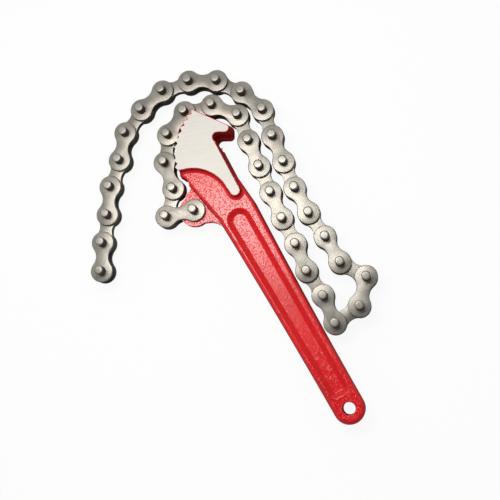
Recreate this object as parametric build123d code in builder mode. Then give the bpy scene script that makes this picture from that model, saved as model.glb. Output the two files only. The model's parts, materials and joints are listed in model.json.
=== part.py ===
from build123d import *
from math import asin, atan2, cos, degrees, hypot, radians, sin
import os

# Chain oil filter wrench: one forging (grip, head, ear) with a link chain pinned to its ear.
# Frame: origin at the hang hole's centre in the mid-plane, +X along the grip to the head,
# +Y towards the ear, +Z out of the ground face. All sizes are in millimetres and degrees.

# Chain
chain_pitch = 19.05
plate_end_diameter = 15.0
plate_waist = 8.6
outer_plate_thickness = 2.4
inner_plate_thickness = 4.8
plate_side_gap = 0.15
pin_diameter = 5.94
pin_running_gap = 0.05
pin_end_chamfer = 0.6

# Grip
tail_radius = 10.1
grip_half_width = 11.2
grip_station = 82.0
neck_half_width = 13.2
neck_station = 146.0
grip_thickness = 16.5
grip_edge_radius = 2.8
hang_hole_diameter = 8.0
hang_hole_mouth = 0.8

# Pocket in both faces of the grip
pocket_start = 9.0
pocket_end = 147.0
pocket_tail_half_width = 6.4
pocket_head_half_width = 8.0
pocket_shift = 1.3
pocket_depth = 3.0
pocket_wall_slope = 48.0
pocket_corner_radius = 4.0
pocket_lip_radius = 1.0
pocket_floor_radius = 1.2

# Head
head_thickness = 25.4
head_draft = 9.0
nose_x = 218.6
nose_y = -8.3
nose_slope = 35.1
beak_x = 196.5
beak_y = -20.6
beak_radius = 2.6
flank_x = 191.5
flank_y = -10.3
tongue_x = 156.6
tongue_outer_y = -9.2
tongue_inner_y = -2.7
heel_x = 187.2
heel_y = 19.4
arc_end_angle = 8.0
head_foot_radius = 2.6

# Jaw
jaw_radius = 45.0
jaw_middle_x = 208.15963
jaw_middle_y = 10.07029
jaw_facing = 46.0
tooth_count = 10
tooth_pitch = 4.62512
tooth_depth = 2.0

# Hook throat and chain slot
seat_x = 193.8
seat_y = -13.4
throat_gap = 0.25
throat_angle = 240.0
throat_length = 16.0
slot_side_gap = 0.35
slot_floor_gap = 0.6
slot_floor_slope = 34.0

# Ear
anchor_x = 161.1
anchor_y = 24.3
ear_end_radius = 10.4
ear_root_x = 140.0
ear_root_y = 12.6
ear_neck_x = 145.4
ear_neck_y = 14.8
ear_neck_end_x = 149.0
ear_neck_end_y = 18.4
ear_step_gap = 0.5
ear_step_overlap = 3.4
gullet_x = 179.4
gullet_y = 23.8
gullet_radius = 5.6

# How the chain lies: the heading of the first link and the bend at each later pin
first_heading = 72.0
bends_round_jaw = [-115.0, 32.5, -25.0, -30.0, -42.0, -35.5, -44.0]
bends_beside_grip = [0.0, 0.5, 0.5, 3.5, -5.0, 11.0, -10.0]
bends_at_turn = [102.0, 41.5, 73.5, -30.5]
bends_going_back = [4.0, -5.0, -6.0, 0.0, -2.5]
bends_round_head = [28.0, 15.0, 25.5, 20.0, 23.0, 13.0, 25.0, -8.0, 14.0, -4.0, 8.0]

# Heights that follow from the sizes above
pin_radius = pin_diameter / 2
pin_length = head_thickness
inner_plate_top = inner_plate_thickness / 2
outer_plate_low = inner_plate_top + plate_side_gap
chain_half_width = outer_plate_low + outer_plate_thickness
slot_width = 2 * (chain_half_width + slot_side_gap)
ear_thickness = inner_plate_thickness
half_head = head_thickness / 2
half_grip = grip_thickness / 2
pocket_floor = half_grip - pocket_depth
cut_margin = 1.0

# The jaw's ends, and a length that reaches past the head
reach = nose_x - tongue_x
jaw_half_angle = degrees(tooth_pitch * (tooth_count - 1) / 2 / jaw_radius)
jaw_first_angle = jaw_facing - jaw_half_angle
jaw_last_angle = jaw_facing + jaw_half_angle

anchor = (anchor_x, anchor_y)
seat = (seat_x, seat_y)
jaw_middle = (jaw_middle_x, jaw_middle_y)


def polar(centre, radius, angle):
    """Point at a radius and an angle from a centre."""
    return (centre[0] + radius * cos(radians(angle)), centre[1] + radius * sin(radians(angle)))


jaw_centre = polar(jaw_middle, -jaw_radius, jaw_facing)


def save(piece, label):
    """Name a finished piece and write it."""
    piece.part.label = label
    export_step(piece.part, f"parts/{label}.step")


def grip_plan():
    """The grip: a round tail, curved sides and the shoulder's step, clear of the first link's swing."""
    with BuildSketch() as plan:
        with BuildLine():
            tail = CenterArc((0, 0), tail_radius, 90, 180)
            neck_high = (neck_station, neck_half_width)
            neck_low = (neck_station, -neck_half_width)
            ThreePointArc(tail @ 0, (grip_station, grip_half_width), neck_high)
            ThreePointArc(tail @ 1, (grip_station, -grip_half_width), neck_low)
            across = hypot(anchor_x - neck_station, anchor_y - neck_half_width)
            swing = plate_end_diameter / 2 + ear_step_gap
            toward_anchor = degrees(atan2(anchor_y - neck_half_width, anchor_x - neck_station))
            step_slope = toward_anchor - degrees(asin(swing / across))
            step_length = hypot(heel_x - neck_station, heel_y - neck_half_width) + ear_step_overlap
            step_end = polar(neck_high, step_length, step_slope)
            Polyline(neck_high, step_end, (flank_x, 0), (gullet_x, flank_y), neck_low)
        make_face()
    return plan.sketch


def pocket_plan():
    """The pocket: rounded at the head end, squared with small corners at the tail end."""
    head_end = pocket_end - pocket_head_half_width
    with BuildSketch() as plan:
        with BuildLine():
            low = (pocket_start, -pocket_tail_half_width)
            high = (pocket_start, pocket_tail_half_width)
            head_low = (head_end, pocket_shift - pocket_head_half_width)
            head_high = (head_end, pocket_shift + pocket_head_half_width)
            Polyline(head_low, low, high, head_high)
            ThreePointArc(head_high, (pocket_end, pocket_shift), head_low)
        make_face()
        fillet(plan.vertices().group_by(Axis.X)[0], radius=pocket_corner_radius)
    return plan.sketch


def head_plan():
    """The ground face before the jaw, throat and slot are cut."""
    beak = (beak_x, beak_y)
    anchor_swing = hypot(heel_x - anchor_x, heel_y - anchor_y)
    tongue_root = (anchor_x, anchor_y - anchor_swing)
    tongue_radius = (tongue_inner_y - tongue_outer_y) / 2
    tongue_middle = (tongue_x - tongue_radius, tongue_outer_y + tongue_radius)
    tongue_outer = (tongue_x, tongue_outer_y)
    tongue_inner = (tongue_x, tongue_inner_y)
    flank = (flank_x, flank_y)
    nose_outside = polar((nose_x, nose_y), 4, nose_slope)
    arc_end = polar(anchor, anchor_swing, arc_end_angle)
    heel_outside = polar(jaw_centre, jaw_radius + 8, jaw_last_angle)
    jaw_outside = polar(jaw_centre, jaw_radius + 12, (jaw_first_angle + jaw_last_angle) / 2)
    with BuildSketch() as plan:
        with BuildLine():
            beak_start = polar(beak, beak_radius, nose_slope - 90)
            beak_end = polar(beak, beak_radius, 180)
            Line(nose_outside, beak_start)
            ThreePointArc(beak_start, polar(beak, beak_radius, 235), beak_end)
            Polyline(beak_end, flank, tongue_outer)
            ThreePointArc(tongue_outer, tongue_middle, tongue_inner)
            Line(tongue_inner, tongue_root)
            ThreePointArc(tongue_root, polar(anchor, anchor_swing, -50), arc_end)
            Polyline(arc_end, heel_outside, jaw_outside, nose_outside)
        make_face()
    return plan.sketch


def jaw_waste():
    """What is cut for the jaw: all beyond its arc, a notch between each two teeth, and the heel."""
    over = 14
    start = jaw_first_angle - over
    sweep = jaw_last_angle + over - start
    tooth_step = (jaw_last_angle - jaw_first_angle) / (tooth_count - 1)
    with BuildSketch() as plan:
        with BuildLine():
            inner = CenterArc(jaw_centre, jaw_radius, start, sweep)
            outer = CenterArc(jaw_centre, jaw_radius + reach, start, sweep)
            Line(inner @ 0, outer @ 0)
            Line(inner @ 1, outer @ 1)
        make_face()
        for gap in range(tooth_count - 1):
            left = jaw_first_angle + gap * tooth_step
            with BuildLine():
                Polyline(polar(jaw_centre, jaw_radius + 0.2, left),
                         polar(jaw_centre, jaw_radius - tooth_depth, left + tooth_step / 2),
                         polar(jaw_centre, jaw_radius + 0.2, left + tooth_step), close=True)
            make_face()
        with BuildLine():
            Polyline(polar(jaw_centre, jaw_radius, jaw_last_angle), (heel_x, heel_y),
                     polar((gullet_x, gullet_y), gullet_radius, -20),
                     polar(jaw_centre, jaw_radius + 8, jaw_last_angle + 6), close=True)
        make_face()
    return plan.sketch


def throat_waste():
    """The hook's throat: a round seat for a pin, open beside the beak."""
    seat_radius = pin_radius + throat_gap
    with BuildSketch() as plan:
        with Locations(seat):
            Circle(seat_radius)
        with Locations(Location((seat_x, seat_y, 0), throat_angle)):
            Rectangle(throat_length, 2 * seat_radius, align=(Align.MIN, Align.CENTER))
    return plan.sketch


def slot_waste():
    """The slot for the chain's plates: round the seat, then a straight floor out to the jaw."""
    sweep_radius = plate_end_diameter / 2 + slot_floor_gap
    floor_start = polar(seat, sweep_radius, slot_floor_slope + 90)
    floor_end = polar(floor_start, reach, slot_floor_slope)
    outside = polar(seat, reach, slot_floor_slope - 90)
    with BuildSketch() as plan:
        with Locations(seat):
            Circle(sweep_radius)
        with BuildLine():
            Polyline(floor_start, floor_end, outside, seat, close=True)
        make_face()
    return plan.sketch


def ear_plan():
    """The ear web: a round end about the anchor pin, on a root in the grip's side."""
    root_y = neck_half_width - grip_edge_radius
    with BuildSketch() as plan:
        with Locations(anchor):
            Circle(ear_end_radius)
        with BuildLine():
            root = (ear_root_x, ear_root_y)
            neck_end = (ear_neck_end_x, ear_neck_end_y)
            ThreePointArc(root, (ear_neck_x, ear_neck_y), neck_end)
            Polyline(neck_end, polar(anchor, ear_end_radius, 190), anchor, polar(anchor, ear_end_radius, 10),
                     (gullet_x - gullet_radius, gullet_y), (gullet_x, root_y),
                     (ear_neck_end_x, root_y), root)
        make_face()
    return plan.sketch


def link_plan(bore_radius):
    """A link plate about its own middle: two round ends, a drawn-in waist and two bores."""
    half_pitch = chain_pitch / 2
    end_radius = plate_end_diameter / 2
    half_waist = plate_waist / 2
    waist_radius = (half_pitch**2 + half_waist**2 - end_radius**2) / (2 * (end_radius - half_waist))
    share = end_radius / (end_radius + waist_radius)
    touch_x = half_pitch * (1 - share)
    touch_y = (half_waist + waist_radius) * share
    with BuildSketch() as plan:
        with BuildLine():
            for side in (1, -1):
                end = (side * (half_pitch + end_radius), 0)
                ThreePointArc((side * touch_x, touch_y), end, (side * touch_x, -touch_y))
                middle = (0, side * half_waist)
                ThreePointArc((-touch_x, side * touch_y), middle, (touch_x, side * touch_y))
        make_face()
        with Locations((-half_pitch, 0), (half_pitch, 0)):
            Circle(bore_radius, mode=Mode.SUBTRACT)
    return plan.sketch


def link_plane(start, end, z):
    """Sketch plane at a link's middle, with its x axis from the link's first pin to its second."""
    middle = ((start[0] + end[0]) / 2, (start[1] + end[1]) / 2, z)
    return Plane(origin=middle, x_dir=(end[0] - start[0], end[1] - start[1], 0), z_dir=(0, 0, 1))


def make_forging():
    """Grip, head and ear, forged in one piece, then ground, slotted, toothed and bored."""
    with BuildPart() as forging:
        with BuildSketch(Plane.XY):
            add(grip_plan())
        extrude(amount=half_grip)
        fillet(forging.edges().group_by(Axis.Z)[-1], radius=grip_edge_radius)
        with BuildSketch(Plane.XY.offset(half_grip)):
            add(pocket_plan())
        extrude(amount=-pocket_depth, taper=pocket_wall_slope, mode=Mode.SUBTRACT)
        lip = forging.faces().filter_by(Axis.Z).sort_by(Axis.Z)[-1].inner_wires()[0]
        fillet(lip.edges(), radius=pocket_lip_radius)
        floor = forging.faces().filter_by_position(Axis.Z, pocket_floor - 0.01, pocket_floor + 0.01)[0]
        fillet(floor.outer_wire().edges(), radius=pocket_floor_radius)
        with BuildSketch(Plane.XY.offset(half_head)):
            add(head_plan())
        extrude(amount=-half_head, taper=-head_draft)
        on_grip = forging.edges().filter_by_position(Axis.Z, half_grip - 0.01, half_grip + 0.01)
        in_head = on_grip.filter_by_position(Axis.X, pocket_end, beak_x)
        head_foot = in_head.filter_by(GeomType.BSPLINE).sort_by(SortBy.LENGTH)[-1]
        fillet(head_foot, radius=head_foot_radius)
        with BuildSketch(Plane.XY):
            add(jaw_waste())
            add(throat_waste())
        extrude(amount=half_head + cut_margin, mode=Mode.SUBTRACT)
        with BuildSketch(Plane.XY):
            add(ear_plan())
        extrude(amount=ear_thickness / 2)
        with BuildSketch(Plane.XY):
            with Locations((gullet_x, gullet_y)):
                Circle(gullet_radius)
            with Locations(anchor):
                Circle(pin_radius + pin_running_gap)
            Circle(hang_hole_diameter / 2)
        extrude(amount=half_head, mode=Mode.SUBTRACT)
        mouth = forging.edges().filter_by(GeomType.CIRCLE).sort_by_distance((0, 0, half_grip))[0]
        fillet(mouth, radius=hang_hole_mouth)
        with BuildSketch(Plane.XY):
            add(slot_waste())
        extrude(amount=slot_width / 2, mode=Mode.SUBTRACT)
        mirror(about=Plane.XY)
    save(forging, "forged_handle")


def make_outer_plates(label, start, end):
    """Two outer plates of one link, pressed on their pins."""
    with BuildPart() as plates:
        for low in (outer_plate_low, -chain_half_width):
            with BuildSketch(link_plane(start, end, low)):
                add(link_plan(pin_radius))
            extrude(amount=outer_plate_thickness)
    save(plates, label)


def make_inner_plate(label, start, end):
    """The middle plate of one link, which turns on the pins of the links beside it."""
    with BuildPart() as plate:
        with BuildSketch(link_plane(start, end, -inner_plate_top)):
            add(link_plan(pin_radius + pin_running_gap))
        extrude(amount=inner_plate_thickness)
    save(plate, label)


def make_pins(label, places):
    """Long chain pins that stand out of both outer plates, so the hook can catch them."""
    with BuildPart() as pins:
        with BuildSketch(Plane.XY.offset(-pin_length / 2)):
            with Locations(*places):
                Circle(pin_radius)
        extrude(amount=pin_length)
        ends = pins.edges().filter_by(GeomType.CIRCLE)
        chamfer(ends, length=pin_end_chamfer)
    save(pins, label)


def chain_route():
    """Pin centres from the anchor pin outwards, one pitch apart along the headings."""
    bends = bends_round_jaw + bends_beside_grip + bends_at_turn + bends_going_back + bends_round_head
    heading = first_heading
    route = [anchor]
    for bend in bends + [0]:
        route.append(polar(route[-1], chain_pitch, heading))
        heading += bend
    return route


os.makedirs("parts", exist_ok=True)
make_forging()
pin_places = chain_route()
make_pins("anchor_pin", pin_places[:1])
for first in range(0, len(pin_places), 2):
    number = f"{first // 2 + 1:02d}"
    make_outer_plates(f"outer_plates_{number}", pin_places[first], pin_places[first + 1])
    make_pins(f"link_pins_{number}", pin_places[max(first, 1):first + 2])
    if first + 2 < len(pin_places):
        make_inner_plate(f"inner_plate_{number}", pin_places[first + 1], pin_places[first + 2])
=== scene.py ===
import json
import math

import bmesh
import bpy
from mathutils import Matrix, Vector


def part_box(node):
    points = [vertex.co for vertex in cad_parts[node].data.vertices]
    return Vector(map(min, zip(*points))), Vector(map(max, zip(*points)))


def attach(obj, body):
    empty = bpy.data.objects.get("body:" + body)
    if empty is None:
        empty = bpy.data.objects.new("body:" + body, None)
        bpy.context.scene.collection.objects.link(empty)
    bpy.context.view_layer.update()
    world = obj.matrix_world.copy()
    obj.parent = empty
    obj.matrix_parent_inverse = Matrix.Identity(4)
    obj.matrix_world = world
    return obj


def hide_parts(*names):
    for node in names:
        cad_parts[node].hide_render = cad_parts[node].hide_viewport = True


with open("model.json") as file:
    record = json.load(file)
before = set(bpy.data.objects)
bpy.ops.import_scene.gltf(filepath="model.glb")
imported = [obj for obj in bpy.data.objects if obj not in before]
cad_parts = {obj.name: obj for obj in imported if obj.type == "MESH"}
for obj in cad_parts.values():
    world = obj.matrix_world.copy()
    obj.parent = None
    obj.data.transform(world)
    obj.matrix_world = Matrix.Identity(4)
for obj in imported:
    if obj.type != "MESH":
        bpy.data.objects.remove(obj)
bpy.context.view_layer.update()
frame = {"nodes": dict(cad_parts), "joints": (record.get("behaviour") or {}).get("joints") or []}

MM = 0.001

# The chain, in the same sizes as its solids
PITCH = 19.05 * MM
END_RADIUS = 7.5 * MM
HALF_WAIST = 4.3 * MM
PIN_RADIUS = 2.97 * MM
HALF_PIN = 12.7 * MM
OUTER_LOW = 2.55 * MM
OUTER_HIGH = 4.95 * MM
INNER_HIGH = 2.4 * MM

# What the looks add to it: half the seam between middle plates, and the rounding of plates' rims
INNER_SEAM = 0.05 * MM
PLATE_ROUND = 0.55 * MM
INNER_ROUND = 0.30 * MM

# A pin's worn end, as how far in from its radius and how far down from its top, in millimetres
PIN_END = [(0.0, 0.60), (0.05, 0.40), (0.18, 0.22), (0.40, 0.10), (0.75, 0.03), (1.20, 0.0)]

# How finely curves are stepped: a rim's turn in degrees, a plate's end and a pin
RIM_TURNS = (0.0, 22.5, 45.0, 67.5, 90.0)
END_STEPS = 18
PIN_SIDES = 40

# The ground faces of the head, and the film of paint that is left along their edges
FACE_HEIGHT = 12.7 * MM
FACE_SLACK = 0.002 * MM
EDGE_WIDTH = 0.42 * MM
EDGE_RISE = 0.012 * MM
LEAST_MITRE = 0.5

# How near two corners of the forging's mesh are one, and how flat two facets are one, in degrees
WELD_WITHIN = 0.001 * MM
FLAT_WITHIN = 0.3

# Degrees past which an edge is sharp, and within which a corner leans on its larger neighbours
SHARP_ANGLE = 40
LEAN_ANGLE = 24

# The paint's reds: two that drift into each other, a pink painted glint on its raised dots, and a darker
# red painted as shade on its walls
RED_DEEP = (0.80, 0.002, 0.006)
RED_FULL = (0.90, 0.003, 0.009)
PAINTED_GLINT_PINK = (0.95, 0.085, 0.085)
PAINTED_SHADE_RED = (0.48, 0.001, 0.003)

# The ground faces' bare steel
BARE_DARK = (0.68, 0.645, 0.59)
BARE_LIGHT = (0.84, 0.815, 0.765)
BARE_CLOUD = (0.67, 0.63, 0.57)

# The chain's steel: its plates, its pins' ends, and the dark painted shade on the walls of both
PLATE_TONES = ((0.33, 0.305, 0.265), (0.43, 0.405, 0.36))
PIN_TONES = ((0.33, 0.31, 0.275), (0.44, 0.42, 0.38))
PAINTED_SHADE_WALL = (0.12, 0.112, 0.10)
STEEL_ROUGH = 0.34
GRAIN_SHADE = 0.66

# How far below its top each of them still has its face's tone, before the painted shade of its walls
OUTER_FACE_DEPTH = 0.40 * MM
INNER_FACE_DEPTH = 0.22 * MM
PIN_FACE_DEPTH = 0.40 * MM

# The room: how bright it is by height, from the horizon at 0 to overhead at 1, and from -X to +X
ROOM_BANDS = [(0.0, 0.10), (0.15, 0.30), (0.45, 0.90), (0.75, 0.80), (0.93, 0.26), (1.0, 0.18)]
ROOM_SIDES = (-0.5, 0.8)
ROOM_SIDE_LEVELS = (0.4, 1.6)
ROOM_STRENGTH = 0.50

# The floor: its place, its size, its paper, and how much of it is plain white to the camera
FLOOR_PLACE = (0.12, 0.0, -0.0127)
FLOOR_RADIUS = 3.0
PAPER = (0.60, 0.60, 0.60)
PAPER_GLOW = 1.08
PAPER_GLOW_SHARE = 0.85

# The way that the key lamp's longer side lies, nearly straight across the grip
LONG_WAY = (0.316, 0.949, 0.0)

# The camera, as fitted to the chain's pins: its axes, its place, and its focal length in pixels
CAMERA_RIGHT = Vector((-0.48527, -0.86258, -0.14308))
CAMERA_UP = Vector((0.85423, -0.50262, 0.13289))
CAMERA_PLACE = Vector((7.0, -29.6, 593.8)) * MM
FOCAL_PIXELS = 923.85
PICTURE_PIXELS = 500
SENSOR_WIDTH = 36.0


def set_value(tree, socket, value):
    """Gives an input a number, a colour or another node's output."""
    if isinstance(value, (int, float)):
        socket.default_value = value
    elif isinstance(value, tuple):
        socket.default_value = (*value, 1)
    else:
        tree.links.new(value, socket)


def map_range(nodes, source, target):
    """A node that maps one span of numbers to another."""
    node = nodes.new("ShaderNodeMapRange")
    for name, number in zip(("From Min", "From Max", "To Min", "To Max"), (*source, *target)):
        node.inputs[name].default_value = number
    return node


def add_object(name, data):
    """A new object in the scene."""
    made = bpy.data.objects.new(name, data)
    bpy.context.scene.collection.objects.link(made)
    return made


def mesh_from(name, work):
    """A mesh of a bmesh, which is freed."""
    mesh = bpy.data.meshes.new(name)
    work.to_mesh(mesh)
    work.free()
    return mesh


def stand(place, right, up, back):
    """The matrix of a lamp or camera from its place and its three axes."""
    return Matrix.Translation(place) @ Matrix((right, up, back)).transposed().to_4x4()


class Surface:
    """A node material with short calls for what the surfaces here are made of."""

    def __init__(self, name):
        self.material = bpy.data.materials.new(name)
        self.material.use_nodes = True
        self.tree = self.material.node_tree
        self.nodes = self.tree.nodes
        self.shader = self.nodes["Principled BSDF"]
        self.place = self.nodes.new("ShaderNodeTexCoord").outputs["Object"]

    def give(self, name, value):
        """Sets one of the shader's own inputs."""
        set_value(self.tree, self.shader.inputs[name], value)

    def height_of(self, vector):
        """How far a vector reaches up or down."""
        node = self.nodes.new("ShaderNodeSeparateXYZ")
        set_value(self.tree, node.inputs["Vector"], vector)
        return self.maths("ABSOLUTE", node.outputs["Z"])

    def along(self, turn, stretch):
        """The place drawn out along a direction in the part's plane, for lines that run that way."""
        node = self.nodes.new("ShaderNodeMapping")
        node.vector_type = "TEXTURE"
        node.inputs["Scale"].default_value = (stretch, 1, 1)
        node.inputs["Rotation"].default_value = (0, 0, math.radians(turn))
        set_value(self.tree, node.inputs["Vector"], self.place)
        return node.outputs["Vector"]

    def noise(self, scale, detail, rough, vector=None):
        """Noise about 0.5, with its scale in cells per metre."""
        node = self.nodes.new("ShaderNodeTexNoise")
        given = {"Scale": scale, "Detail": detail, "Roughness": rough, "Vector": vector or self.place}
        for name, value in given.items():
            set_value(self.tree, node.inputs[name], value)
        return node.outputs["Fac"]

    def span(self, value, low, high, start, end):
        """Start below low, end above high, and in step between them."""
        node = map_range(self.nodes, (low, high), (start, end))
        set_value(self.tree, node.inputs["Value"], value)
        return node.outputs["Result"]

    def maths(self, operation, first, second=0.0):
        """What an operation makes of one value or two."""
        node = self.nodes.new("ShaderNodeMath")
        node.operation = operation
        set_value(self.tree, node.inputs[0], first)
        set_value(self.tree, node.inputs[1], second)
        return node.outputs["Value"]

    def mix(self, factor, first, second):
        """A mix of two colours."""
        return self.mixed("RGBA", (6, 7, 2), factor, first, second)

    def blend(self, factor, first, second):
        """A mix of two plain numbers."""
        return self.mixed("FLOAT", (2, 3, 0), factor, first, second)

    def mixed(self, kind, places, factor, first, second):
        """A Mix node: its kind, the places of its two inputs and its output, and what goes in."""
        node = self.nodes.new("ShaderNodeMix")
        node.data_type = kind
        set_value(self.tree, node.inputs["Factor"], factor)
        set_value(self.tree, node.inputs[places[0]], first)
        set_value(self.tree, node.inputs[places[1]], second)
        return node.outputs[places[2]]

    def bump(self, height, depth, strength):
        """A normal that tips with a height, where 1 stands a depth above 0."""
        node = self.nodes.new("ShaderNodeBump")
        for name, value in (("Distance", depth), ("Strength", strength), ("Height", height)):
            set_value(self.tree, node.inputs[name], value)
        return node.outputs["Normal"]


def paint_material():
    """Glossy red paint on a forged skin, bare where the head's faces are ground."""
    s = Surface("red_paint")
    depth = s.height_of(s.place)
    level = s.height_of(s.nodes.new("ShaderNodeNewGeometry").outputs["Normal"])
    film = s.span(depth, FACE_HEIGHT + 0.3 * EDGE_RISE, FACE_HEIGHT + 0.6 * EDGE_RISE, 0.0, 1.0)
    high = s.span(depth, FACE_HEIGHT - 0.12 * MM, FACE_HEIGHT - 0.06 * MM, 0.0, 1.0)
    face = s.maths("SUBTRACT", high, film)

    dots_and_glints = s.span(s.noise(880, 2.0, 0.55), 0.52, 0.66, 0.0, 1.0)
    skin = s.noise(2100, 2.0, 0.6)
    drift = s.noise(30, 2.0, 0.5)
    red = s.mix(s.span(drift, 0.35, 0.65, 0.0, 1.0), RED_DEEP, RED_FULL)
    # The raised dots are a real bump, and their pink is a painted glint
    red = s.mix(s.maths("MULTIPLY", dots_and_glints, 0.5), red, PAINTED_GLINT_PINK)
    # Steep walls, and the film of paint along the ground faces' edges, are painted darker red as shade
    painted_shade = s.maths("MAXIMUM", s.span(level, 0.25, 0.85, 0.75, 0.0), s.maths("MULTIPLY", film, 0.7))
    red = s.mix(painted_shade, red, PAINTED_SHADE_RED)

    lines = s.noise(700, 4.0, 0.65, s.along(67.0, 22.0))
    cloud = s.noise(70, 3.0, 0.55)
    bare = s.mix(s.span(lines, 0.3, 0.7, 0.0, 1.0), BARE_DARK, BARE_LIGHT)
    bare = s.mix(s.span(cloud, 0.4, 0.65, 0.0, 0.30), bare, BARE_CLOUD)

    gloss = s.span(level, 0.2, 0.9, 0.90, 0.22)
    satin = s.span(lines, 0.3, 0.7, 0.42, 0.55)
    peel = s.maths("ADD", dots_and_glints, s.maths("MULTIPLY", skin, 0.3))
    relief = s.blend(face, peel, s.maths("MULTIPLY", lines, 0.2))
    s.give("Base Color", s.mix(face, red, bare))
    s.give("Metallic", s.blend(face, 0.0, 0.25))
    s.give("Roughness", s.blend(face, gloss, satin))
    s.give("Specular IOR Level", 0.8)
    s.give("Normal", s.bump(relief, 0.07 * MM, 1.0))
    return s.material


def steel_material(name, tones, face_height):
    """Tumbled steel: a soft cloudy tone on its faces, and walls below the faces' height painted dark as
    shade.
    """
    s = Surface(name)
    dark, light = tones
    cloud = s.noise(90, 4.0, 0.6)
    grain = s.noise(1500, 2.0, 0.6)
    scratch = s.noise(900, 3.0, 0.7, s.along(35.0, 16.0))
    tone = s.mix(s.span(cloud, 0.32, 0.68, 0.0, 1.0), dark, light)
    tone = s.mix(s.span(grain, 0.35, 0.75, 0.0, 0.35), tone, tuple(GRAIN_SHADE * c for c in dark))
    on_face = s.span(s.height_of(s.place), face_height - 0.10 * MM, face_height, 0.0, 1.0)
    wear = s.maths("ADD", cloud, s.maths("MULTIPLY", scratch, 0.4))
    worn = s.span(wear, 0.4, 1.0, STEEL_ROUGH - 0.06, STEEL_ROUGH + 0.08)
    relief = s.maths("ADD", s.maths("MULTIPLY", grain, 0.35), scratch)
    # Below the faces' height the walls are painted dark as shade
    s.give("Base Color", s.mix(on_face, PAINTED_SHADE_WALL, tone))
    s.give("Metallic", s.blend(on_face, 0.2, 0.7))
    s.give("Roughness", s.blend(on_face, 0.95, worn))
    s.give("Normal", s.bump(relief, 0.03 * MM, 0.6))
    return s.material


def plate_outline(inset):
    """One link's outline about its own middle, drawn in by an inset, as points and no repeats."""
    half = PITCH / 2
    waist = (half ** 2 + HALF_WAIST ** 2 - END_RADIUS ** 2) / (2 * (END_RADIUS - HALF_WAIST))
    drop = math.atan2(half, HALF_WAIST + waist)
    sweep = math.pi / 2 + drop
    end = END_RADIUS - inset
    hollow = waist + inset
    points = []
    for side in (1, -1):
        for step in range(2 * END_STEPS + 1):
            angle = -sweep + sweep * step / END_STEPS
            points.append((side * (half + end * math.cos(angle)), side * end * math.sin(angle)))
        for step in range(1, END_STEPS // 2):
            angle = drop - 2 * drop * step / (END_STEPS // 2)
            rise = HALF_WAIST + waist - hollow * math.cos(angle)
            points.append((side * hollow * math.sin(angle), side * rise))
    return points


def rings(work, levels, shift=0.0):
    """Skins a stack of outlines and closes its two ends. Each level is a height and its points."""
    rows = [[work.verts.new((x + shift, y, height)) for x, y in points] for height, points in levels]
    for below, above in zip(rows, rows[1:]):
        for i in range(len(below)):
            j = (i + 1) % len(below)
            work.faces.new((below[i], below[j], above[j], above[i]))
    work.faces.new(list(reversed(rows[0])))
    work.faces.new(rows[-1])


def plate_pair(low, high, edge):
    """The upper plate between two heights and its twin below, with all their rims rounded."""
    angles = [math.radians(turn) for turn in RIM_TURNS]
    rim = [(edge * (1 - math.cos(angle)), edge * (1 - math.sin(angle))) for angle in angles]
    work = bmesh.new()
    for bottom, top in ((low, high), (-high, -low)):
        levels = [(bottom + rise, plate_outline(inset)) for rise, inset in rim]
        levels += [(top - drop, plate_outline(inset)) for inset, drop in rim]
        rings(work, levels)
    return work


def pins_at(places):
    """Pins across the part's plane at places along X, each with flat ends inside a worn rim."""
    upper = [(PIN_RADIUS - inward * MM, HALF_PIN - drop * MM) for inward, drop in PIN_END]
    profile = [(radius, -height) for radius, height in reversed(upper)] + upper
    turns = [2 * math.pi * i / PIN_SIDES for i in range(PIN_SIDES)]
    levels = [(height, [(radius * math.cos(turn), radius * math.sin(turn)) for turn in turns])
              for radius, height in profile]
    work = bmesh.new()
    for place in places:
        rings(work, levels, place)
    return work


def piece(name, work, place, material, body, node):
    """Turns a bmesh into a piece at its place, riding on its body in the node's stead."""
    bmesh.ops.recalc_face_normals(work, faces=work.faces)
    mesh = mesh_from(name, work)
    mesh.transform(place)
    mesh.materials.append(material)
    for face in mesh.polygons:
        face.use_smooth = True
    mesh.set_sharp_from_angle(angle=math.radians(SHARP_ANGLE))
    made = add_object(name, mesh)
    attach(made, body)
    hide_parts(node)
    return made


def lean_on_large(mesh):
    """Corner normals weighed by area, so that flats stay flat beside their fillets."""
    least = math.cos(math.radians(LEAN_ANGLE))
    around = [[] for _ in mesh.vertices]
    for face in mesh.polygons:
        for corner in face.vertices:
            around[corner].append((face.normal.copy(), face.area))
    normals = []
    for face in mesh.polygons:
        for corner in face.vertices:
            total = Vector((0, 0, 0))
            for normal, area in around[corner]:
                if normal.dot(face.normal) > least:
                    total += normal * area
            normals.append(total.normalized())
    mesh.normals_split_custom_set(normals)


def paint_lines(work):
    """Thin closed films of paint along the edges of the ground faces, mitred at the corners."""
    ground = [face for face in work.faces
              if all(abs(abs(vert.co.z) - FACE_HEIGHT) < FACE_SLACK for vert in face.verts)]
    edges = []
    inward = {}
    for face in ground:
        up = Vector((0, 0, math.copysign(1, face.normal.z)))
        for loop in face.loops:
            if loop.link_loop_radial_next.face in ground:
                continue
            start, end = loop.vert, loop.link_loop_next.vert
            edges.append((start, end))
            for vert in (start, end):
                inward.setdefault(vert, [up * EDGE_RISE]).append(up.cross(end.co - start.co).normalized())
    rims = {}
    for vert, (lift, *sides) in inward.items():
        total = sum(sides, Vector((0, 0, 0)))
        reach = total.normalized() * EDGE_WIDTH / max(LEAST_MITRE, total.length / len(sides))
        corners = (lift, reach + lift, reach - lift, -lift)
        rims[vert] = [work.verts.new(vert.co + corner) for corner in corners]
    for start, end in edges:
        for i in range(4):
            j = (i + 1) % 4
            work.faces.new((rims[start][i], rims[end][i], rims[end][j], rims[start][j]))


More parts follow.
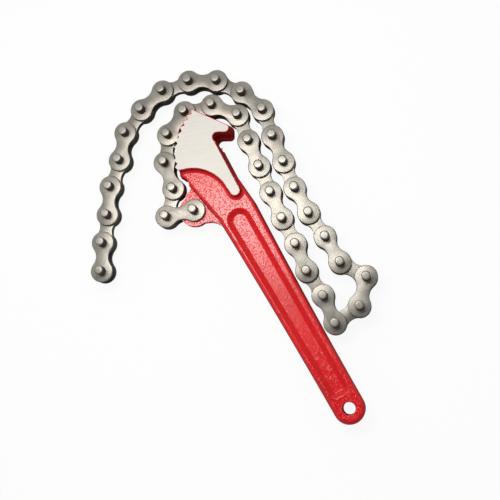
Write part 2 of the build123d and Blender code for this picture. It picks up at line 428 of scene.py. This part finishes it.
def forging_piece(paint):
    """The forging as it is modelled, with a line of paint along the edges of its ground faces."""
    node = frame["nodes"]["forged_handle"]
    work = bmesh.new()
    work.from_mesh(node.data)
    work.transform(node.matrix_world)
    bmesh.ops.remove_doubles(work, verts=work.verts, dist=WELD_WITHIN)
    flat = math.radians(FLAT_WITHIN)
    bmesh.ops.dissolve_limit(work, angle_limit=flat, verts=work.verts, edges=work.edges)
    paint_lines(work)
    made = piece("forged_body", work, Matrix(), paint, "handle", "forged_handle")
    lean_on_large(made.data)


def link_place(start, end):
    """Moves a link's own frame, x along it and middle at zero, to where it lies."""
    along = end - start
    return Matrix.Translation((start + end) / 2) @ Matrix.Rotation(math.atan2(along.y, along.x), 4, "Z")


def pin_places():
    """Where every pin is: the hinges give all but the last, which is one pitch past them in its node."""
    pins = [Vector(joint["pos_m"]) for joint in frame["joints"]]
    low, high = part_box(f"link_pins_{len(pins) // 2 + 1:02d}")
    ends = [Vector((x, y, 0)) for x in (low.x + PIN_RADIUS, high.x - PIN_RADIUS)
            for y in (low.y + PIN_RADIUS, high.y - PIN_RADIUS)]
    pins.append(min(ends, key=lambda end: abs((end - pins[-1]).length - PITCH)))
    return pins


def chain_pieces(outer_steel, inner_steel, pin_steel):
    """Every plate and pin of the chain. The first link's own pin is apart, as the pin in the ear."""
    pins = pin_places()
    for index, joint in enumerate(frame["joints"]):
        body = joint["child"]
        number = f"{index // 2 + 1:02d}"
        place = link_place(pins[index], pins[index + 1])
        if index % 2:
            work = plate_pair(INNER_SEAM, INNER_HIGH, INNER_ROUND)
            piece(f"inner_plates_{number}", work, place, inner_steel, body,
                  f"inner_plate_{number}")
            continue
        work = plate_pair(OUTER_LOW, OUTER_HIGH, PLATE_ROUND)
        piece(f"side_plates_{number}", work, place, outer_steel, body,
              f"outer_plates_{number}")
        work = pins_at((-PITCH / 2, PITCH / 2) if index else (PITCH / 2,))
        piece(f"pins_{number}", work, place, pin_steel, body, f"link_pins_{number}")
    ear_body = frame["joints"][0]["child"]
    piece("ear_pin", pins_at((0.0,)), Matrix.Translation(pins[0]), pin_steel, ear_body,
          "anchor_pin")


def lay_floor():
    """One wide sheet of white paper: near white to the camera, and plain pale paper to other light."""
    s = Surface("paper")
    s.give("Base Color", PAPER)
    s.give("Roughness", 0.9)
    glow = s.nodes.new("ShaderNodeEmission")
    glow.inputs["Strength"].default_value = PAPER_GLOW
    path = s.nodes.new("ShaderNodeLightPath")
    mix = s.nodes.new("ShaderNodeMixShader")
    share = s.maths("MULTIPLY", path.outputs["Is Camera Ray"], PAPER_GLOW_SHARE)
    set_value(s.tree, mix.inputs["Fac"], share)
    set_value(s.tree, mix.inputs[1], s.shader.outputs["BSDF"])
    set_value(s.tree, mix.inputs[2], glow.outputs["Emission"])
    set_value(s.tree, s.nodes["Material Output"].inputs["Surface"], mix.outputs["Shader"])
    work = bmesh.new()
    bmesh.ops.create_circle(work, cap_ends=True, segments=64, radius=FLOOR_RADIUS)
    mesh = mesh_from("floor", work)
    mesh.materials.append(s.material)
    made = add_object("floor", mesh)
    made.location = FLOOR_PLACE


def area_lamp(name, place, target, size, power, colour):
    """An oval soft box: its place, what it points at, and its two sides, the longer along LONG_WAY."""
    lamp = bpy.data.lights.new(name, "AREA")
    lamp.shape = "ELLIPSE"
    lamp.size, lamp.size_y = size
    lamp.energy = power
    lamp.color = colour
    back = (Vector(place) - Vector(target)).normalized()
    side = Vector(LONG_WAY)
    side = (side - back * side.dot(back)).normalized()
    made = add_object(name, lamp)
    made.matrix_world = stand(Vector(place), side, back.cross(side), back)
    return made


def world_light():
    """A soft room: brightest half way up on the head's side, calmer overhead and dim at the horizon."""
    world = bpy.data.worlds.new("room")
    world.use_nodes = True
    nodes = world.node_tree.nodes
    link = world.node_tree.links.new
    place = nodes.new("ShaderNodeTexCoord")
    parts = nodes.new("ShaderNodeSeparateXYZ")
    link(place.outputs["Generated"], parts.inputs["Vector"])
    bands = nodes.new("ShaderNodeValToRGB")
    ramp = bands.color_ramp
    while len(ramp.elements) < len(ROOM_BANDS):
        ramp.elements.new(0.5)
    for element, (height, level) in zip(ramp.elements, ROOM_BANDS):
        element.position = height
        element.color = (level, level, level, 1)
    link(parts.outputs["Z"], bands.inputs["Fac"])
    side = map_range(nodes, ROOM_SIDES, tuple(level * ROOM_STRENGTH for level in ROOM_SIDE_LEVELS))
    link(parts.outputs["X"], side.inputs["Value"])
    room = nodes["Background"]
    link(bands.outputs["Color"], room.inputs["Color"])
    link(side.outputs["Result"], room.inputs["Strength"])
    white = nodes.new("ShaderNodeBackground")
    white.inputs["Color"].default_value = (1, 1, 1, 1)
    path = nodes.new("ShaderNodeLightPath")
    mix = nodes.new("ShaderNodeMixShader")
    link(path.outputs["Is Camera Ray"], mix.inputs["Fac"])
    link(room.outputs["Background"], mix.inputs[1])
    link(white.outputs["Background"], mix.inputs[2])
    link(mix.outputs["Shader"], nodes["World Output"].inputs["Surface"])
    bpy.context.scene.world = world


def make_camera():
    """Above the grip's tail, tipped towards the head, as the photograph was taken."""
    data = bpy.data.cameras.new("camera")
    data.sensor_width = SENSOR_WIDTH
    data.lens = SENSOR_WIDTH * FOCAL_PIXELS / PICTURE_PIXELS
    camera = add_object("camera", data)
    camera.matrix_world = stand(CAMERA_PLACE, CAMERA_RIGHT, CAMERA_UP, CAMERA_RIGHT.cross(CAMERA_UP))
    bpy.context.scene.camera = camera


make_camera()
chain_pieces(steel_material("outer_plate_steel", PLATE_TONES, OUTER_HIGH - OUTER_FACE_DEPTH),
             steel_material("inner_plate_steel", PLATE_TONES, INNER_HIGH - INNER_FACE_DEPTH),
             steel_material("pin_steel", PIN_TONES, HALF_PIN - PIN_FACE_DEPTH))
forging_piece(paint_material())

lay_floor()
world_light()
area_lamp("key", place=(0.244, 0.009, 0.48), target=(0.138, -0.009, 0.0), size=(0.34, 0.11),
          power=0.92, colour=(1.0, 0.98, 0.95))
fill = area_lamp("fill", place=(0.24, 0.03, 0.60), target=(0.12, 0.0, 0.0), size=(0.3, 0.3),
                 power=0.85, colour=(1.0, 0.99, 0.975))
fill.visible_glossy = False
bpy.context.scene.view_settings.view_transform = "Standard"
